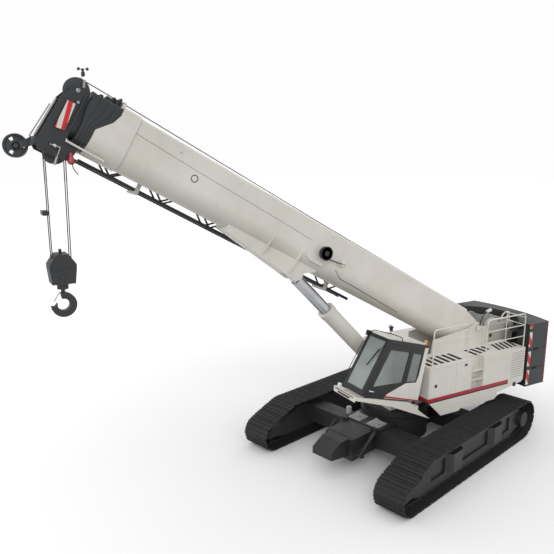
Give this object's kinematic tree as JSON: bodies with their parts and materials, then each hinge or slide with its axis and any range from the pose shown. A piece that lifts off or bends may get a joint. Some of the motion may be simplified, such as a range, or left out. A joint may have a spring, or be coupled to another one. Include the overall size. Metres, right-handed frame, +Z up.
{
  "type": "telescopic crawler crane",
  "caption": "Crawler crane on long tracks with a slewing upper, tilting cab, stacked counterweight, raised telescopic boom, stowed lattice jib and hook block on rope falls.",
  "frame": {"origin": "on the ground under the slewing axis", "axes": "+X along the boom, forward from the slewing axis, +Y to the operator's left, +Z up; the tracks stand turned 14.75 degrees to the left under the superstructure"},
  "size_m": [15.4915, 7.3059, 10.158],
  "materials": {
    "white_paint": "semi-gloss",
    "charcoal_paint": "satin",
    "head_paint": "satin",
    "track_steel": "dull",
    "weight_paint": "satin",
    "bare_steel": "brushed",
    "rod_chrome": "polished",
    "pad_aluminium": "dull",
    "cab_glass": "tinted",
    "cab_trim": "matte",
    "seat_fabric": "woven",
    "wire_rope": "oiled",
    "reel_rubber": "matte",
    "winch_paint": "satin"
  },
  "bodies": {
    "undercarriage": {"carbody": "charcoal_paint", "slew_ring": "charcoal_paint", "track_frame_left": "charcoal_paint", "track_frame_right": "charcoal_paint", "track_left": "track_steel", "track_right": "track_steel", "track_sprockets": "track_steel", "track_idlers": "track_steel", "track_rollers": "track_steel", "carbody_weight_front": "charcoal_paint", "carbody_weight_rear": "charcoal_paint", "jack_floats": "pad_aluminium"},
    "jack_front_left": {"jack_front_left": "charcoal_paint"},
    "jack_front_right": {"jack_front_right": "charcoal_paint"},
    "jack_rear_left": {"jack_rear_left": "charcoal_paint"},
    "jack_rear_right": {"jack_rear_right": "charcoal_paint"},
    "superstructure": {"upper_frame": "white_paint", "winch_frame": "winch_paint", "house_left": "white_paint", "engine_hood": "white_paint", "engine": "charcoal_paint", "counterweight_lower": "weight_paint", "counterweight_middle": "weight_paint", "counterweight_upper": "weight_paint", "side_step": "white_paint", "handrails": "white_paint", "cab_mount": "white_paint"},
    "hoist_drum": {"hoist_drum": "winch_paint"},
    "house_door": {"house_door": "white_paint"},
    "hood_door": {"hood_door": "white_paint"},
    "cab": {"cab_shell": "cab_trim", "cab_tray": "charcoal_paint", "cab_glass": "cab_glass", "operator_seat": "seat_fabric", "cab_catwalk": "white_paint"},
    "cab_door": {"cab_door": "cab_trim", "cab_door_glass": "cab_glass"},
    "boom_foot_pin": {"boom_foot_pin": "bare_steel"},
    "boom_base": {"boom_base": "white_paint", "boom_saddle": "white_paint", "cable_reel": "reel_rubber", "fly_jib": "charcoal_paint", "jib_brackets": "white_paint"},
    "boom_section_1": {"boom_section_1": "head_paint"},
    "boom_section_2": {"boom_section_2": "head_paint"},
    "boom_section_3": {"boom_section_3": "head_paint"},
    "boom_section_4": {"boom_section_4": "head_paint"},
    "boom_tip": {"boom_section_5": "head_paint", "boom_head": "head_paint", "nose_arm": "head_paint"},
    "tip_sheave": {"tip_sheave": "head_paint"},
    "nose_sheave": {"nose_sheave": "head_paint"},
    "fall_sheaves": {"fall_sheaves": "head_paint"},
    "hook_block": {"hook_block": "head_paint", "hoist_falls": "wire_rope"},
    "hook": {"hook": "head_paint"},
    "lift_foot_pin": {"lift_foot_pin": "bare_steel"},
    "lift_barrel": {"lift_barrel": "white_paint"},
    "lift_piston": {"lift_piston": "bare_steel"},
    "lift_rod": {"lift_rod": "rod_chrome"}
  },
  "joints": [
    {"name": "slew", "type": "hinge", "parent": "undercarriage", "child": "superstructure", "pos_m": [0, 0, 1.2], "axis": [0, 0, 1], "continuous": true},
    {"name": "boom_lower", "type": "hinge", "parent": "superstructure", "child": "boom_foot_pin", "pos_m": [-2.76, 0, 3.29], "axis": [0, -1, 0], "range_deg": [-28.35, 0]},
    {"name": "boom_raise", "type": "hinge", "parent": "boom_foot_pin", "child": "boom_base", "pos_m": [-2.76, 0, 3.29], "axis": [0, -1, 0], "range_deg": [0, 51.65]},
    {"name": "boom_extend_1", "type": "slide", "parent": "boom_base", "child": "boom_section_1", "axis": [0.8801, 0, 0.4749], "range_m": [0, 6.3]},
    {"name": "boom_extend_2", "type": "slide", "parent": "boom_section_1", "child": "boom_section_2", "axis": [0.8801, 0, 0.4749], "range_m": [0, 6.3]},
    {"name": "boom_extend_3", "type": "slide", "parent": "boom_section_2", "child": "boom_section_3", "axis": [0.8801, 0, 0.4749], "range_m": [0, 6.3]},
    {"name": "boom_extend_4", "type": "slide", "parent": "boom_section_3", "child": "boom_section_4", "axis": [0.8801, 0, 0.4749], "range_m": [0, 6.3]},
    {"name": "boom_extend_5", "type": "slide", "parent": "boom_section_4", "child": "boom_tip", "axis": [0.8801, 0, 0.4749], "range_m": [0, 6.3]},
    {"name": "lift_foot_turn", "type": "hinge", "parent": "superstructure", "child": "lift_foot_pin", "pos_m": [-0.36, 0, 1.45], "axis": [0, -1, 0], "range_deg": [-35.46, 0]},
    {"name": "lift_tilt", "type": "hinge", "parent": "lift_foot_pin", "child": "lift_barrel", "pos_m": [-0.36, 0, 1.45], "axis": [0, -1, 0], "range_deg": [0, 45.87]},
    {"name": "lift_retract", "type": "slide", "parent": "lift_barrel", "child": "lift_piston", "axis": [0.7051, 0, 0.7091], "range_m": [-1.34393, 0]},
    {"name": "lift_extend", "type": "slide", "parent": "lift_piston", "child": "lift_rod", "axis": [0.7051, 0, 0.7091], "range_m": [0, 2.54138]},
    {"name": "cab_tilt", "type": "hinge", "parent": "superstructure", "child": "cab", "pos_m": [0.44, 0, 1.78], "axis": [0, -1, 0], "range_deg": [-15.6, 4.4]},
    {"name": "cab_door_swing", "type": "hinge", "parent": "cab", "child": "cab_door", "pos_m": [0.91811, 1.45, 2.49491], "axis": [-0.2059, 0, 0.9786], "range_deg": [0, 85]},
    {"name": "house_door_swing", "type": "hinge", "parent": "superstructure", "child": "house_door", "pos_m": [-0.824, 1.495, 2.3], "axis": [0, 0, 1], "range_deg": [0, 100]},
    {"name": "hood_door_swing", "type": "hinge", "parent": "superstructure", "child": "hood_door", "pos_m": [0, -1.495, 2.774], "axis": [1, 0, 0], "range_deg": [-85, 0]},
    {"name": "hoist_drum_turn", "type": "hinge", "parent": "superstructure", "child": "hoist_drum", "pos_m": [-3.48, 0, 3.18], "axis": [0, 1, 0], "continuous": true},
    {"name": "tip_sheave_turn", "type": "hinge", "parent": "boom_tip", "child": "tip_sheave", "pos_m": [8.96289, 0, 9.88803], "axis": [0, 1, 0], "continuous": true},
    {"name": "nose_sheave_turn", "type": "hinge", "parent": "boom_tip", "child": "nose_sheave", "pos_m": [10.19175, 0, 8.78985], "axis": [0, 1, 0], "continuous": true},
    {"name": "falls_plumb_low", "type": "hinge", "parent": "boom_tip", "child": "fall_sheaves", "pos_m": [9.45838, 0, 8.63277], "axis": [0, -1, 0], "range_deg": [0, 28.35]},
    {"name": "falls_plumb_high", "type": "hinge", "parent": "fall_sheaves", "child": "hook_block", "pos_m": [9.45838, 0, 8.63277], "axis": [0, -1, 0], "range_deg": [-51.65, 0]},
    {"name": "hook_turn", "type": "hinge", "parent": "hook_block", "child": "hook", "pos_m": [9.45838, 0, 5.42277], "axis": [0, 0, 1], "continuous": true},
    {"name": "jack_front_left_swing", "type": "hinge", "parent": "undercarriage", "child": "jack_front_left", "pos_m": [1.48969, 0.97956, 1], "axis": [0, 0, 1], "range_deg": [0, 55]},
    {"name": "jack_front_right_swing", "type": "hinge", "parent": "undercarriage", "child": "jack_front_right", "pos_m": [1.77892, -0.119, 1], "axis": [0, 0, 1], "range_deg": [-55, 0]},
    {"name": "jack_rear_left_swing", "type": "hinge", "parent": "undercarriage", "child": "jack_rear_left", "pos_m": [-1.77892, 0.119, 1], "axis": [0, 0, 1], "range_deg": [-55, 0]},
    {"name": "jack_rear_right_swing", "type": "hinge", "parent": "undercarriage", "child": "jack_rear_right", "pos_m": [-1.48969, -0.97956, 1], "axis": [0, 0, 1], "range_deg": [0, 55]}
  ],
  "couplings": [
    {"joint": "lift_foot_turn", "follows": "boom_lower", "ratio": 1.2508},
    {"joint": "lift_retract", "follows": "boom_lower", "m_per_rad": 2.7161},
    {"joint": "falls_plumb_low", "follows": "boom_lower", "ratio": -1},
    {"joint": "lift_tilt", "follows": "boom_raise", "ratio": 0.88801},
    {"joint": "lift_extend", "follows": "boom_raise", "m_per_rad": 2.8192},
    {"joint": "falls_plumb_high", "follows": "boom_raise", "ratio": -1}
  ]
}
